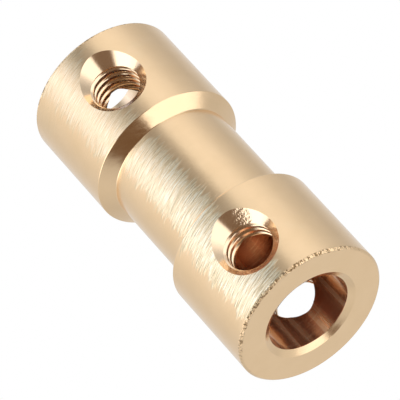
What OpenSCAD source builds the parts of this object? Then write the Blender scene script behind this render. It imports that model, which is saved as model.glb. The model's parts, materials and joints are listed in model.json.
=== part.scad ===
// Rigid sleeve coupling: one turned brass sleeve with two collars and a narrower waist, bored
// for a 5 mm shaft at the top and a 3.17 mm shaft at the bottom, and tapped across each collar
// for M3 set screws. The shaft line is Z, and the sleeve stands on its small-bore end at Z = 0.

/* [Sleeve] */
// Outside diameter of both collars
collar_d = 9; // [8:0.1:12]
// Overall length of the sleeve
sleeve_l = 20.5; // [17:0.1:30]
// Length of each collar, from its end face to the edge of its shoulder
collar_l = 6.5; // [6:0.1:7]
// Diameter of the waist between the collars
waist_d = 7.4; // [6.5:0.1:7.8]
// Length of the cone that joins a collar to the waist
shoulder_l = 0.6; // [0.3:0.1:1]
// Edge break on the outside rim of each end face
rim_break = 0.12; // [0.05:0.01:0.3]

/* [Bores] */
// Diameter of the bore in the upper half
large_bore_d = 5; // [4:0.01:6]
// Diameter of the bore in the lower half
small_bore_d = 3.17; // [2:0.01:3.5]
// Radial width of the chamfer at each bore mouth
mouth_chamfer = 0.38; // [0.1:0.01:0.5]
// Full angle of the drill point that leaves the step and the mouth chamfers
drill_point = 118; // [90:1:140]

/* [Tapped holes] */
// Distance of each hole's axis from the end face of its collar
hole_from_end = 3.35; // [2.6:0.05:3.6]
// Diameter under the thread, as drilled before tapping
tap_drill_d = 2.7; // [2:0.05:2.8]
// Diameter of the countersink where its cone meets the crown of the collar
countersink_d = 4.3; // [3.6:0.05:4.8]
// How far the lower holes are turned from the upper ones, in degrees clockwise seen from above
hole_turn = 7.5; // [0:0.5:15]

/* [Set screw] */
// Outside diameter of the screw's thread
screw_d = 2.94; // [2.4:0.01:3]
// Length of the screw
screw_l = 2.5; // [2:0.1:3]
// Radial running clearance between the screw and its hole
screw_play = 0.03; // [0.01:0.01:0.08]
// Gap between the screw's point and the small bore at rest
point_gap = 0.16; // [0.05:0.01:0.4]
// Width across the flats of the hexagon socket
socket_af = 1.5; // [1.2:0.1:1.6]
// Depth of the hexagon socket
socket_depth = 1.3; // [0.8:0.1:1.5]
// Diameter of the cup in the screw's point
cup_d = 1.4; // [1:0.1:1.6]

/* [Hidden] */
$fn = 96;
CUT = 1; // how far a cutting tool runs past the face that it cuts

collar_r = collar_d / 2;
large_r = large_bore_d / 2;
small_r = small_bore_d / 2;
screw_r = screw_d / 2;
mid_z = sleeve_l / 2;
lower_hole_z = hole_from_end;
upper_hole_z = sleeve_l - hole_from_end;
// height of a drill-point cone for each millimetre of its radius
cone_rise = 1 / tan(drill_point / 2);
// bevel at the socket end of the screw
head_bevel = 0.2;
// the point of the screw: a flat ring round the cup, and the bevel that takes up the rest
point_land = 0.32;
point_bevel = screw_r - cup_d / 2 - point_land;
// full angle of the cup in the point
cup_angle = 118;

// The turned outside: a half section of the two collars, their shoulders and the waist.
module turned_blank() {
    low = [
        [0, 0], [collar_r - rim_break, 0], [collar_r, rim_break],
        [collar_r, collar_l], [waist_d / 2, collar_l + shoulder_l],
    ];
    high = [for (i = [len(low) - 1:-1:0]) [low[i][0], sleeve_l - low[i][1]]];
    rotate_extrude() polygon(concat(low, high));
}

// Both bores as one cutter: a mouth chamfer at each end, and at mid length the step that the
// large drill's point leaves around the small bore.
module bore_cutter() {
    chamfer_h = mouth_chamfer * cone_rise;
    step_h = (large_r - small_r) * cone_rise;
    rotate_extrude() polygon([
        [0, -CUT], [small_r + mouth_chamfer, -CUT], [small_r + mouth_chamfer, 0],
        [small_r, chamfer_h], [small_r, mid_z - step_h], [large_r, mid_z],
        [large_r, sleeve_l - chamfer_h], [large_r + mouth_chamfer, sleeve_l],
        [large_r + mouth_chamfer, sleeve_l + CUT], [0, sleeve_l + CUT],
    ]);
}

// One hole in one wall of a collar, drilled from the shaft line out along +X, with its
// 90 degree countersink.
module wall_hole(d) {
    sink_r = countersink_d / 2;
    rotate([0, 90, 0]) {
        cylinder(d = d, h = collar_r + CUT);
        translate([0, 0, collar_r - sink_r])
            cylinder(r1 = 0, r2 = sink_r + CUT, h = sink_r + CUT);
    }
}

module sleeve() {
    color([0.83, 0.69, 0.49])
    difference() {
        turned_blank();
        bore_cutter();
        for (turn = [-90, 90])
            translate([0, 0, upper_hole_z]) rotate([0, 0, turn]) wall_hole(tap_drill_d);
        translate([0, 0, lower_hole_z]) rotate([0, 0, -hole_turn]) {
            rotate([0, 0, -90]) wall_hole(tap_drill_d);
            rotate([0, 0, 90]) wall_hole(screw_d + 2 * screw_play);
        }
    }
}

// The screw lies in the rear hole of the lower collar, its cup point towards the shaft line.
module set_screw() {
    cup_h = cup_d / 2 / tan(cup_angle / 2);
    color([0.35, 0.35, 0.37])
    translate([0, 0, lower_hole_z]) rotate([0, 90, 90 - hole_turn])
    translate([0, 0, small_r + point_gap])
    difference() {
        rotate_extrude() polygon([
            [0, cup_h], [cup_d / 2, 0], [screw_r - point_bevel, 0], [screw_r, point_bevel],
            [screw_r, screw_l - head_bevel], [screw_r - head_bevel, screw_l], [0, screw_l],
        ]);
        translate([0, 0, screw_l - socket_depth])
            cylinder(d = socket_af / cos(30), h = socket_depth + CUT, $fn = 6);
    }
}

sleeve();
set_screw();
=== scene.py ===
import json
import math

import bpy
import numpy as np
from mathutils import Matrix, Vector


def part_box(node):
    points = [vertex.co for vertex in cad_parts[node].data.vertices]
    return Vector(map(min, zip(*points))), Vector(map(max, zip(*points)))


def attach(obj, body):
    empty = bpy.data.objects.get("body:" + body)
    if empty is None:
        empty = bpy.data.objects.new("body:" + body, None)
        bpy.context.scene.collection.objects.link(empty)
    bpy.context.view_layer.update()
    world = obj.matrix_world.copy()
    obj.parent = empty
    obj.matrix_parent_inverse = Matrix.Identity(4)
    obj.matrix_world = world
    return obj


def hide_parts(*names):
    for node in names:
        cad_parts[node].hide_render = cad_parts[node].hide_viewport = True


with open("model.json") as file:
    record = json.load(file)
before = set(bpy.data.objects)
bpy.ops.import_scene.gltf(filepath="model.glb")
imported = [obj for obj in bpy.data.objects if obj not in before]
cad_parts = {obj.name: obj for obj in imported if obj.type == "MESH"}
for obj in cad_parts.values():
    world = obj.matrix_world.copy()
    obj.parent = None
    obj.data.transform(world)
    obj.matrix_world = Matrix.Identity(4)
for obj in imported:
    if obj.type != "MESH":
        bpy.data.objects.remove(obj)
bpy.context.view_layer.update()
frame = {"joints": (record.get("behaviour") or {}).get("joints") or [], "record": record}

# --- Sleeve -------------------------------------------------------------------------------
# One piece of free-machining brass bar: turned outside, bored from both ends, then drilled,
# countersunk and tapped right across each collar. It is made here, in millimetres, as a turned
# ring less a threaded rod and two cones for each collar.

MM = 0.001
mounts = {m["name"]: m for m in frame["record"]["mounts"]}
sleeve_low, sleeve_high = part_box("sleeve")
sleeve_l = (sleeve_high.z - sleeve_low.z) / MM
collar_r = min(-sleeve_low.x, sleeve_high.x) / MM
large_r = mounts["large_bore"]["dims"]["r_mm"]
small_r = mounts["small_bore"]["dims"]["r_mm"]
tap_drill_r = mounts["upper_front_hole"]["dims"]["r_mm"]
collar_l = 6.5
waist_r = 3.7
shoulder_l = 0.6
rim_break = 0.12
mouth_chamfer = 0.38
drill_point = 118
drill_rise = 1 / math.tan(math.radians(drill_point / 2))
sink_r = 2.15
thread_r = 1.55
pitch = 0.5
past = 1  # how far a cutting tool runs past the surface that it cuts


def rounded(corners, arc_steps=4):
    """The closed outline through corners of (radius, height, rounding), each corner an arc."""
    outline = []
    for i, (r, z, rounding) in enumerate(corners):
        here = np.array([r, z])
        before = np.array(corners[i - 1][:2]) - here
        after = np.array(corners[(i + 1) % len(corners)][:2]) - here
        lb, la = np.linalg.norm(before), np.linalg.norm(after)
        before, after = before / lb, after / la
        half = math.acos(np.clip(before @ after, -1, 1)) / 2
        back = min(rounding / math.tan(half), 0.45 * lb, 0.45 * la)
        middle = before + after
        centre = here + middle / np.linalg.norm(middle) * back / math.cos(half)
        first, last = here + before * back - centre, here + after * back - centre
        for step in range(arc_steps + 1):
            t = step / arc_steps
            spoke = first * (1 - t) + last * t
            outline.append(centre + spoke / np.linalg.norm(spoke) * np.linalg.norm(first))
    return outline


def divided(outline, longest):
    """The outline with its long straight stretches cut into equal pieces."""
    points = []
    for i, start in enumerate(outline):
        end = outline[(i + 1) % len(outline)]
        pieces = max(1, math.ceil(np.linalg.norm(end - start) / longest))
        points += [start + (end - start) * k / pieces for k in range(pieces)]
    return points


def solid(name, vertices, faces, place=Matrix.Identity(4)):
    """A mesh object, in millimetres, at a place."""
    mesh = bpy.data.meshes.new(name)
    mesh.from_pydata([tuple(v) for v in vertices], [], faces)
    mesh.transform(place)
    mesh.update()
    made = bpy.data.objects.new(name, mesh)
    bpy.context.scene.collection.objects.link(made)
    return made


def turned_ring(name, outline, around=256):
    """A ring turned from a closed outline that stays clear of the Z axis."""
    angles = [2 * math.pi * k / around for k in range(around)]
    vertices = [(r * math.cos(a), r * math.sin(a), z) for a in angles for r, z in outline]
    n = len(outline)
    faces = [
        (k * n + i, beside * n + i, beside * n + (i + 1) % n, k * n + (i + 1) % n)
        for k in range(around) for beside in [(k + 1) % around] for i in range(n)
    ]
    return solid(name, vertices, faces)


def turned_plug(name, outline, place, around=128):
    """A solid turned from an outline that starts and ends on its own axis."""
    inner = outline[1:-1]
    n = len(inner)
    angles = [2 * math.pi * k / around for k in range(around)]
    vertices = [(r * math.cos(a), r * math.sin(a), z) for a in angles for r, z in inner]
    foot, tip = len(vertices), len(vertices) + 1
    vertices += [(0, 0, outline[0][1]), (0, 0, outline[-1][1])]
    faces = []
    for k in range(around):
        here, beside = k * n, (k + 1) % around * n
        faces.append((foot, beside, here))
        faces += [(here + i, beside + i, beside + i + 1, here + i + 1) for i in range(n - 1)]
        faces.append((tip, here + n - 1, beside + n - 1))
    return solid(name, vertices, faces, place)


def threaded_rod(name, crest_r, root_r, start, end, place, around=144):
    """A right-hand 60 degree threaded rod along its own Z axis. Each row of points is one helix,
    so the edges of the thread are true."""
    depth = crest_r - root_r
    flank = depth * math.tan(math.radians(30)) / pitch
    flat, soft = 0.06, 0.25
    side = [
        (flat - flank * soft / 2, crest_r), (flat + flank * soft / 2, crest_r - depth * soft / 2),
        (flat + flank * (1 - soft / 2), root_r + depth * soft / 2),
        (flat + flank * (1 + soft / 2), root_r),
    ]
    rows = side + [(1 - phase, r) for phase, r in side[::-1]]
    first, last = math.floor(start / pitch) - 1, math.ceil(end / pitch) + 1
    helices = [(turn + phase, r) for turn in range(first, last) for phase, r in rows]
    n, per_turn = len(helices), len(rows)
    vertices = []
    for k in range(around):
        a = 2 * math.pi * k / around
        vertices += [
            (r * math.cos(a), r * math.sin(a), pitch * (turns + k / around)) for turns, r in helices
        ]
    faces = []
    for k in range(around - 1):
        faces += [
            (k * n + i, (k + 1) * n + i, (k + 1) * n + i + 1, k * n + i + 1) for i in range(n - 1)
        ]
    final = (around - 1) * n
    faces += [
        (final + i, i + per_turn, i + per_turn + 1, final + i + 1) for i in range(n - per_turn - 1)
    ]
    foot, tip = len(vertices), len(vertices) + 1
    vertices += [(0, 0, pitch * helices[0][0]), (0, 0, pitch * (helices[-1][0] + 1))]
    low_edge = [k * n for k in range(around)] + list(range(per_turn, 0, -1))
    high_edge = [k * n + n - 1 for k in range(around)]
    high_edge += [final + n - 1 - step for step in range(1, per_turn + 1)]
    for edge_loop, point, flip in ((low_edge, foot, True), (high_edge, tip, False)):
        for i, a in enumerate(edge_loop):
            b = edge_loop[(i + 1) % len(edge_loop)]
            faces.append((point, b, a) if flip else (point, a, b))
    return solid(name, vertices, faces, place)


def combined(piece, tool, operation):
    """The piece after a boolean with the tool, which is used up."""
    step = piece.modifiers.new("machining", "BOOLEAN")
    step.object, step.operation, step.solver = tool, operation, "MANIFOLD"
    graph = bpy.context.evaluated_depsgraph_get()
    result = bpy.data.meshes.new_from_object(piece.evaluated_get(graph))
    piece.modifiers.clear()
    piece.data = result
    bpy.data.objects.remove(tool)
    return piece


chamfer_h = mouth_chamfer * drill_rise
step_h = (large_r - small_r) * drill_rise
mid_z = sleeve_l / 2
outer = [
    (collar_r - rim_break, 0, 0.04), (collar_r, rim_break, 0.05), (collar_r, collar_l, 0.06),
    (waist_r, collar_l + shoulder_l, 0.08),
]
outer += [(r, sleeve_l - z, rounding) for r, z, rounding in outer[::-1]]
inner = [
    (large_r + mouth_chamfer, sleeve_l, 0.03), (large_r, sleeve_l - chamfer_h, 0.03),
    (large_r, mid_z, 0.05), (small_r, mid_z - step_h, 0.03),
    (small_r, chamfer_h, 0.03), (small_r + mouth_chamfer, 0, 0.03),
]
sleeve_outline = divided(rounded(outer + inner), 0.7)
sleeve = turned_ring("turned_sleeve", sleeve_outline)

screw_axis = Vector(frame["joints"][0]["axis"])
hole_lines = {
    "upper": (Vector(mounts["upper_front_hole"]["axis"]), mounts["upper_front_hole"]["pos_m"][2] / MM),
    "lower": (-screw_axis, mounts["lower_front_hole"]["pos_m"][2] / MM),
}
hole_places = {}
for level, (front, height) in hole_lines.items():
    along = front.normalized()
    across = along.cross(Vector((0, 0, 1)))
    turn = Matrix((across, along.cross(across), along)).transposed()
    hole_places[level] = Matrix.Translation((0, 0, height)) @ turn.to_4x4()

reach = collar_r + past
half_turn = Matrix.Rotation(math.pi, 4, "X")
for place in hole_places.values():
    rod = threaded_rod("tap", thread_r, tap_drill_r, -reach, reach, place)
    sleeve = combined(sleeve, rod, "DIFFERENCE")
    for flip in (Matrix.Identity(4), half_turn):
        cone_line = [(0, collar_r - sink_r), (sink_r + past, reach), (0, reach)]
        cone = turned_plug("countersink", cone_line, place @ flip)
        sleeve = combined(sleeve, cone, "DIFFERENCE")

# The hole that holds the screw is opened past the screw's crests, as in the solid model, so the
# screw can slide to any depth without turning.
screw_hole_r = 1.5
in_the_bore = small_r / 2
hole_line = [(0, in_the_bore), (screw_hole_r, in_the_bore), (screw_hole_r, reach), (0, reach)]
clear_hole = turned_plug("clear_hole", hole_line, hole_places["lower"] @ half_turn)
sleeve = combined(sleeve, clear_hole, "DIFFERENCE")


def near_outline(radius, height, outline, within=0.004):
    """Which points of (radius, height) lie on the closed outline."""
    starts = np.array(outline)
    runs = np.roll(starts, -1, 0) - starts
    points = np.stack([radius, height], 1)[:, None]
    share = ((points - starts) * runs).sum(2) / (runs**2).sum(1)
    nearest = starts + np.clip(share, 0, 1)[..., None] * runs
    return np.linalg.norm(points - nearest, axis=2).min(1) < within


def faces_of(mesh):
    """The corners' vertex numbers, and for each corner the number of its face."""
    corners = np.empty(len(mesh.loops), np.int32)
    mesh.loops.foreach_get("vertex_index", corners)
    totals = np.empty(len(mesh.polygons), np.int32)
    mesh.polygons.foreach_get("loop_total", totals)
    return corners, np.repeat(np.arange(len(totals)), totals)


def points_of(mesh):
    places = np.empty(len(mesh.vertices) * 3, np.float32)
    mesh.vertices.foreach_get("co", places)
    return places.reshape(-1, 3).astype(float)


def smooth_about(mesh, origins, axes):
    """Every face was turned, drilled or tapped about an axis. Each corner takes its face's normal
    swung about that axis to the corner, so round surfaces shade round and edges stay crisp."""
    corners, face = faces_of(mesh)
    points = points_of(mesh)
    normals = np.empty(len(mesh.polygons) * 3, np.float32)
    mesh.polygons.foreach_get("normal", normals)
    normals = normals.reshape(-1, 3).astype(float)[face]
    centres = np.empty(len(mesh.polygons) * 3, np.float32)
    mesh.polygons.foreach_get("center", centres)
    centres = centres.reshape(-1, 3).astype(float)[face]
    axes, origins = axes[face], origins[face]
    arms = []
    for place in (centres, points[corners]):
        arm = place - origins
        arm = arm - (arm * axes).sum(1, keepdims=True) * axes
        arms.append(arm / np.maximum(np.linalg.norm(arm, axis=1, keepdims=True), 1e-9))
    cosine = (arms[0] * arms[1]).sum(1, keepdims=True)
    sine = (np.cross(arms[0], arms[1]) * axes).sum(1, keepdims=True)
    along = (axes * normals).sum(1, keepdims=True)
    swung = normals * cosine + np.cross(axes, normals) * sine + axes * along * (1 - cosine)
    flat = np.abs(along) > 0.9999
    swung = np.where(flat | (cosine < 0.9), normals, swung)
    mesh.polygons.foreach_set("use_smooth", [True] * len(mesh.polygons))
    mesh.normals_split_custom_set(swung / np.linalg.norm(swung, axis=1, keepdims=True))


sleeve.data.update()
corners, face = faces_of(sleeve.data)
points = points_of(sleeve.data)
on_outline = near_outline(np.hypot(points[:, 0], points[:, 1]), points[:, 2], sleeve_outline)
turned_face = np.bincount(face, ~on_outline[corners]) == 0
heights = np.bincount(face, points[corners, 2]) / np.bincount(face)
radii = np.bincount(face, np.hypot(points[corners, 0], points[corners, 1])) / np.bincount(face)
upper = heights > mid_z
face_axes = np.where(upper[:, None], hole_lines["upper"][0], hole_lines["lower"][0])
upper_hole_z, lower_hole_z = hole_lines["upper"][1], hole_lines["lower"][1]
face_origins = np.where(upper[:, None], (0, 0, upper_hole_z), (0, 0, lower_hole_z))
face_axes[turned_face] = (0, 0, 1)
face_origins[turned_face] = (0, 0, 0)
smooth_about(sleeve.data, face_origins, face_axes)
hair = 0.01
bored_face = turned_face & (radii < large_r + hair) & (heights > hair)
TURNED, BORED, TAPPED = range(3)
surface = np.where(turned_face, np.where(bored_face, BORED, TURNED), TAPPED)
sleeve.data.transform(Matrix.Scale(MM, 4))


class Wire:
    """A shader socket that can be added, multiplied and so on."""

    def __init__(self, finish, socket):
        self.finish, self.socket = finish, socket

    def _with(self, operation, *others):
        return self.finish.node("ShaderNodeMath", dict(enumerate([self, *others])), operation=operation)

    def __add__(self, other):
        return self._with("ADD", other)

    def __sub__(self, other):
        return self._with("SUBTRACT", other)

    def __rsub__(self, other):
        return self.finish.node("ShaderNodeMath", {0: other, 1: self}, operation="SUBTRACT")

    def __mul__(self, other):
        return self._with("MULTIPLY", other)

    def __pow__(self, other):
        return self._with("POWER", other)

    __radd__ = __add__
    __rmul__ = __mul__


class Finish:
    """A material or a world, built node by node."""

    def __init__(self, owner):
        owner.use_nodes = True
        self.owner, self.tree = owner, owner.node_tree
        self.tree.nodes.clear()

    def node(self, kind, inputs=None, out=0, stops=None, **settings):
        made = self.tree.nodes.new(kind)
        for name, value in settings.items():
            setattr(made, name, value)
        if stops:
            ramp = made.color_ramp.elements
            for place, _ in stops[1:-1]:
                ramp.new(place)
            for element, (place, colour) in zip(ramp, stops):
                element.position, element.color = place, (*colour, 1)
        for name, value in (inputs or {}).items():
            if isinstance(value, Wire):
                self.tree.links.new(value.socket, made.inputs[name])
            else:
                made.inputs[name].default_value = value
        return Wire(self, made.outputs[out]) if made.outputs else None

    def noise(self, vector, scale, detail=2, roughness=0.5):
        return self.node(
            "ShaderNodeTexNoise",
            {"Vector": vector, "Scale": scale, "Detail": detail, "Roughness": roughness},
        )

    def stretched(self, vector, scale):
        return self.node("ShaderNodeVectorMath", {0: vector, 1: scale}, operation="MULTIPLY")

    def between(self, value, low, high, bottom=0.0, top=1.0):
        """A smooth step from bottom to top as value goes from low to high."""
        return self.node(
            "ShaderNodeMapRange",
            {"Value": value, "From Min": low, "From Max": high, "To Min": bottom, "To Max": top},
            interpolation_type="SMOOTHSTEP",
        )

    def blended(self, share, first, second):
        return self.node(
            "ShaderNodeMix", {0: share, 6: first, 7: second}, out=2, data_type="RGBA"
        )

    def metal(self, colour, roughness, normal, metallic=1.0):
        shader = self.node(
            "ShaderNodeBsdfPrincipled",
            {"Base Color": colour, "Roughness": roughness, "Normal": normal, "Metallic": metallic},
        )
        self.node("ShaderNodeOutputMaterial", {"Surface": shader})
        return self.owner


def place_in_mm(finish):
    return finish.stretched(finish.node("ShaderNodeTexCoord", out=3), (1 / MM, 1 / MM, 1 / MM))


def around_the_shaft(finish):
    """Position in millimetres, the height, the radius, the bearing about the shaft line in
    radians, and a position whose Z runs along the turned outline, so that noise drawn out across
    it makes lines that circle the shaft line."""
    place = place_in_mm(finish)
    x, y, z = (finish.node("ShaderNodeSeparateXYZ", {0: place}, out=i) for i in range(3))
    radius = (x * x + y * y) ** 0.5
    bearing = finish.node("ShaderNodeMath", {0: y, 1: x}, operation="ARCTAN2")
    lathe = finish.node("ShaderNodeCombineXYZ", {0: x, 1: y, 2: z + radius - x * 0.12})
    return place, z, radius, bearing, lathe


def turned_brass():
    """Satin brass: fine turning lines all over, scratches from hand brushing in one broad band down the
    front and in patches elsewhere, and nicks along the end rims. Down that band, where the front
    highlight falls, the colour is painted highlight: a paler cream tone, near-white painted highlight
    lines and dark painted reflection lines along the scratches."""
    finish = Finish(bpy.data.materials.new("turned_brass"))
    place, z, radius, bearing, lathe = around_the_shaft(finish)
    ragged = finish.noise(finish.stretched(lathe, (1, 1, 4)), 1.0, 3)
    strip_bearing, front_bearing = -1.27, -1.5
    off_strip = finish.node("ShaderNodeMath", {0: bearing - strip_bearing}, operation="ABSOLUTE")
    from_middle = finish.node("ShaderNodeMath", {0: z - mid_z}, operation="ABSOLUTE")
    waist_half = mid_z - collar_l - shoulder_l
    on_waist = finish.between(from_middle, waist_half - 0.05, waist_half, 1, 0)
    on_collar = finish.between(from_middle, mid_z - collar_l, mid_z - collar_l + 0.05)
    on_side = on_waist + on_collar * finish.between(from_middle, mid_z - 0.02, mid_z - 0.12)
    # Painted highlight: the band is centred on the bearing where the front highlight falls; its
    # scratches are bump, and its colours below are painted highlight.
    scratch_and_highlight_strip = finish.between(off_strip + (ragged - 0.5) * 0.5, 0.4, 0.26)
    scratch_and_highlight_strip = scratch_and_highlight_strip * finish.between(z, 3, 15, 0.4, 1)
    patches = finish.between(finish.noise(place, 0.4, 3), 0.55, 0.7)
    brushed_and_highlight = (scratch_and_highlight_strip + (1 - scratch_and_highlight_strip) * patches * 0.08) * on_side
    fine = finish.noise(finish.stretched(lathe, (0.9, 0.9, 22)), 1.0, 3, 0.6)
    scratches = finish.noise(finish.stretched(lathe, (1.0, 1.0, 22)), 1.0, 3, 0.6)
    height = fine * 0.5 + scratches * (brushed_and_highlight * 4 + 0.2) + finish.noise(place, 1.4, 2) * 2
    to_top_rim = collar_r - rim_break + sleeve_l - radius - z
    to_foot_rim = collar_r - rim_break - radius + z
    to_rim = finish.node("ShaderNodeMath", {0: to_top_rim, 1: to_foot_rim}, operation="MINIMUM")
    off_front = finish.node("ShaderNodeMath", {0: bearing - front_bearing}, operation="ABSOLUTE")
    rim = finish.between(to_rim, 0.08, 0.02) * finish.between(off_front, 1.5, 0.6, 0.12, 1)
    nicks = finish.noise(place, 5.0, 3, 0.6)
    height = height + (nicks - 0.5) * rim * 26
    bump = finish.node("ShaderNodeBump", {"Height": height, "Strength": 1.0, "Distance": 4.0e-6})
    tone = finish.blended(finish.noise(place, 0.9, 4), (0.9, 0.65, 0.39, 1), (0.96, 0.71, 0.45, 1))
    # Painted highlight: a paler, greener cream tone down the band, the colour of the lit highlight.
    tone = finish.blended(brushed_and_highlight * 0.6, tone, (0.86, 0.76, 0.52, 1))
    # Painted reflection: dark lines along the scratches in the band.
    painted_dark_reflection_lines = finish.between(scratches, 0.5, 0.36) * brushed_and_highlight
    tone = finish.blended(painted_dark_reflection_lines * 0.65, tone, (0.42, 0.36, 0.23, 1))
    tone = finish.blended(rim * finish.between(nicks, 0.48, 0.4), tone, (0.3, 0.19, 0.09, 1))
    # Painted highlight: near-white glint lines along the scratches in the band.
    painted_highlight_lines = finish.between(scratches, 0.48, 0.62) * brushed_and_highlight
    tone = finish.blended(painted_highlight_lines * 0.85, tone, (0.97, 0.95, 0.78, 1))
    roughness = finish.between(scratches, 0.2, 0.8, 0.13, 0.22)
    return finish.metal(tone, roughness, bump)


def bored_brass():
    """The same brass inside the bores, with drill rings and scores, and painted shade: a darker, redder
    tone for the bores' depth, painted lighter near the small mouth."""
    finish = Finish(bpy.data.materials.new("bored_brass"))
    place, z, _, _, lathe = around_the_shaft(finish)
    rings = finish.noise(finish.stretched(lathe, (0.4, 0.4, 12)), 1.0, 4, 0.6)
    scores = finish.noise(finish.stretched(lathe, (0.9, 0.9, 11)), 1.0, 3, 0.6)
    scores = finish.between(scores, 0.55, 0.65)
    streaks = finish.noise(finish.stretched(place, (1.5, 1.5, 0.05)), 1.0, 2)
    streaks = finish.between(streaks, 0.5, 0.62)
    bump = finish.node("ShaderNodeBump", {"Height": rings, "Strength": 1.0, "Distance": 4.0e-6})
    # Painted shade: a dark red-brown base inside the bores, with lighter streaks at random.
    tone = finish.blended(streaks * 0.6, (0.68, 0.35, 0.2, 1), (0.98, 0.64, 0.38, 1))
    tone = finish.blended(scores * 0.5, tone, (0.97, 0.75, 0.55, 1))
    # Painted light: the brass turns lighter towards the small mouth, where light comes in.
    tone = finish.blended(finish.between(z, 0.5, 1.5), (0.96, 0.76, 0.54, 1), tone)
    return finish.metal(tone, 0.17, bump, metallic=0.85 - streaks * 0.15)


def tapped_brass():
    """Bright cut brass in the countersinks and threads, with a little tool chatter."""
    finish = Finish(bpy.data.materials.new("tapped_brass"))
    place = place_in_mm(finish)
    worn_spot = (-0.75, -4.0, 15.6)
    away = finish.node("ShaderNodeVectorMath", {0: place, 1: worn_spot}, out=1, operation="DISTANCE")
    chatter = finish.noise(place, 7.0, 2) * finish.between(away, 0.7, 0.35) * 14
    height = finish.noise(place, 3.0, 4, 0.65) + chatter
    bump = finish.node("ShaderNodeBump", {"Height": height, "Strength": 1.0, "Distance": 3.0e-6})
    return finish.metal((0.96, 0.74, 0.51, 1), 0.14, bump, metallic=0.92)


sleeve.data.materials.clear()
for material in (turned_brass(), bored_brass(), tapped_brass()):
    sleeve.data.materials.append(material)
sleeve.data.polygons.foreach_set("material_index", surface.astype(np.int32))
sleeve.data.update()
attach(sleeve, "sleeve")
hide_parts("sleeve")

# --- Set screw ----------------------------------------------------------------------------
# An M3 grub screw of blackened alloy steel with a rolled thread, a cup point and a broached
# hexagon socket. It stands in the rear hole of the lower collar.

screw_crest_r = 1.47
screw_root_r = 1.2
screw_l = 2.5
point_gap = 0.16
point_r = small_r + point_gap
socket_af = 1.5
socket_depth = 1.3
cup_r = 0.7
point_bevel = 0.45
head_bevel = 0.2
beyond = 0.2  # how far the bevels' cones run out past the thread's crests
socket_floor_dip = 0.3
socket_mouth_r = 1.06
socket_mouth_slope = 1.7
socket_mouth_reach = 0.5

outwards = hole_places["lower"] @ half_turn @ Matrix.Translation((0, 0, point_r))
set_screw = threaded_rod(
    "threaded_screw", screw_crest_r, screw_root_r, -point_r - screw_l - past, -point_r + past,
    hole_places["lower"],
)
envelope = turned_plug(
    "screw_envelope",
    [
        (0, cup_r * drill_rise), (cup_r, 0), (screw_crest_r - point_bevel, 0),
        (screw_crest_r + beyond, point_bevel + beyond),
        (screw_crest_r + beyond, screw_l - head_bevel - beyond),
        (screw_crest_r - head_bevel, screw_l), (0, screw_l),
    ],
    outwards,
)
set_screw = combined(set_screw, envelope, "INTERSECT")
hexagon = [(socket_af / 2 / math.cos(math.pi / 6), math.radians(60 * k)) for k in range(6)]
floor_z, top_z = screw_l - socket_depth, screw_l + past
socket_points = [(r * math.cos(a), r * math.sin(a), z) for z in (floor_z, top_z) for r, a in hexagon]
socket_points.append((0, 0, floor_z - socket_floor_dip))
socket_faces = [tuple(range(6, 12))]
socket_faces += [(k, (k + 1) % 6, 6 + (k + 1) % 6, 6 + k) for k in range(6)]
socket_faces += [(12, (k + 1) % 6, k) for k in range(6)]
socket = solid("socket", socket_points, socket_faces, outwards)
set_screw = combined(set_screw, socket, "DIFFERENCE")
mouth_low, mouth_high = screw_l - socket_mouth_reach, screw_l + socket_mouth_reach
mouth_r = socket_mouth_r + socket_mouth_reach * socket_mouth_slope
mouth_line = [(0, mouth_low), (mouth_r, mouth_high), (0, mouth_high)]
socket_mouth = turned_plug("socket_mouth", mouth_line, outwards)
set_screw = combined(set_screw, socket_mouth, "DIFFERENCE")
count = len(set_screw.data.polygons)
smooth_about(
    set_screw.data,
    np.tile(np.array((0.0, 0.0, lower_hole_z)), (count, 1)),
    np.tile(np.array(hole_lines["lower"][0]), (count, 1)),
)
set_screw.data.transform(Matrix.Scale(MM, 4))


def blackened_steel():
    """Black-oxide steel with a thin film of oil."""
    finish = Finish(bpy.data.materials.new("blackened_steel"))
    grain = finish.noise(place_in_mm(finish), 9.0, 3)
    bump = finish.node("ShaderNodeBump", {"Height": grain, "Strength": 1.0, "Distance": 2.0e-6})
    tone = finish.blended(grain, (0.05, 0.05, 0.055, 1), (0.11, 0.11, 0.115, 1))
    return finish.metal(tone, 0.3, bump)


set_screw.data.materials.clear()
set_screw.data.materials.append(blackened_steel())
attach(set_screw, "screw")
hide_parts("set_screw")

# --- Studio -------------------------------------------------------------------------------
# A white light tent. The floor and the backdrop are plain white cards, and only the camera
# sees them. The brass reflects the tent's walls, which the world paints by compass direction,
# in one set of tones below the horizon and in another above it.


def white_card():
    finish = Finish(bpy.data.materials.new("white_card"))
    glow = finish.node("ShaderNodeEmission", {"Color": (1, 1, 1, 1), "Strength": 1.0})
    finish.node("ShaderNodeOutputMaterial", {"Surface": glow})
    return finish.owner


under_the_foot = -1e-5
bpy.ops.mesh.primitive_plane_add(size=6, location=(0, 0, under_the_foot))
floor = bpy.context.object
floor.name = "floor"
bpy.ops.mesh.primitive_uv_sphere_add(radius=2.9, segments=48, ring_count=24)
backdrop = bpy.context.object
backdrop.name = "backdrop"
for sheet in (floor, backdrop):
    sheet.data.materials.append(white_card())
    sheet.visible_glossy = sheet.visible_diffuse = sheet.visible_shadow = False
    sheet.visible_transmission = False

NEUTRAL, COOL, WARM = (1.0, 1.0, 1.0), (0.98, 1.0, 1.1), (1.0, 0.62, 0.38)
BRIGHTEST = 2.0
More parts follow.
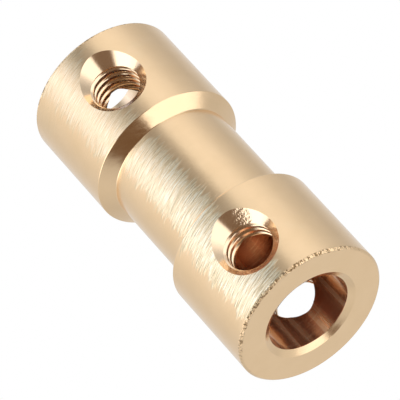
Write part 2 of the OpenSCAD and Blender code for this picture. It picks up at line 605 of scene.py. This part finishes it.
# compass direction in degrees, brightness, tint: -90 is the side that faces the camera
low_walls = [
    (-180, 0.72, NEUTRAL), (-158, 0.95, NEUTRAL), (-142, 1.03, NEUTRAL), (-124, 0.96, NEUTRAL),
    (-108, 0.48, NEUTRAL), (-94, 0.32, NEUTRAL), (-80, 0.55, NEUTRAL), (-62, 1.1, COOL),
    (-46, 1.35, COOL), (-30, 1.15, COOL), (-10, 0.9, NEUTRAL), (10, 0.8, NEUTRAL),
    (34, 0.72, NEUTRAL), (66, 0.76, NEUTRAL), (100, 0.8, NEUTRAL), (150, 0.57, NEUTRAL),
    (170, 0.66, NEUTRAL), (180, 0.72, NEUTRAL),
]
middle_walls = [
    (-180, 0.5, NEUTRAL), (-170, 0.5, NEUTRAL), (-162, 0.8, NEUTRAL), (-150, 1.5, NEUTRAL),
    (-122, 1.5, NEUTRAL), (-112, 0.15, WARM), (-60, 0.15, WARM), (-48, 1.9, NEUTRAL),
    (-8, 1.9, NEUTRAL), (8, 0.8, NEUTRAL), (50, 0.62, NEUTRAL), (100, 0.7, NEUTRAL),
    (150, 0.6, NEUTRAL), (180, 0.5, NEUTRAL),
]
skirt = [
    (-180, 0.58, NEUTRAL), (-150, 0.75, NEUTRAL), (-60, 0.75, NEUTRAL), (-48, 1.7, NEUTRAL),
    (-8, 1.7, NEUTRAL), (8, 0.8, NEUTRAL), (150, 0.7, NEUTRAL), (180, 0.58, NEUTRAL),
]
high_walls = [
    (-180, 1.5, NEUTRAL), (-114, 1.5, NEUTRAL), (-106, 0.17, WARM), (-16, 0.17, WARM),
    (0, 0.62, NEUTRAL), (20, 0.7, NEUTRAL), (90, 0.76, NEUTRAL), (154, 0.74, NEUTRAL),
    (162, 1.4, NEUTRAL), (180, 1.5, NEUTRAL),
]

tent = Finish(bpy.data.worlds.new("light_tent"))
bpy.context.scene.world = tent.owner
direction = tent.node("ShaderNodeTexCoord", out=0)
east, north, height = (tent.node("ShaderNodeSeparateXYZ", {0: direction}, out=i) for i in range(3))
compass = tent.node("ShaderNodeMath", {0: north, 1: east}, operation="ARCTAN2")
around = compass * (0.5 / math.pi) + 0.5


def walls(tones):
    stops = [
        ((angle + 180) / 360, [part * level / BRIGHTEST for part in tint])
        for angle, level, tint in tones
    ]
    return tent.node("ShaderNodeValToRGB", {0: around}, stops=stops)


tone = tent.blended(tent.between(height, -0.5, -0.43), walls(low_walls), walls(skirt))
tone = tent.blended(tent.between(height, -0.26, -0.14), tone, walls(middle_walls))
tone = tent.blended(tent.between(height, 0.42, 0.62), tone, walls(high_walls))
background = tent.node("ShaderNodeBackground", {"Color": tone, "Strength": BRIGHTEST})
tent.node("ShaderNodeOutputWorld", {"Surface": background})

scene = bpy.context.scene
scene.view_settings.view_transform = "Standard"

camera = bpy.data.objects.new("camera", bpy.data.cameras.new("camera"))
scene.collection.objects.link(camera)
camera.data.lens = 384.2
camera.data.sensor_width = 36
camera_at = Vector((1.28, -188.157, 145.355)) * MM
back = Vector((0.00443, -0.81198, 0.58367)).normalized()
side = Vector((-0.74289, 0.38805, 0.54547))
side = (side - back * side.dot(back)).normalized()
facing = Matrix((side, back.cross(side), back)).transposed().to_4x4()
camera.matrix_world = Matrix.Translation(camera_at) @ facing
camera.data.clip_start, camera.data.clip_end = 0.001, 10
scene.camera = camera
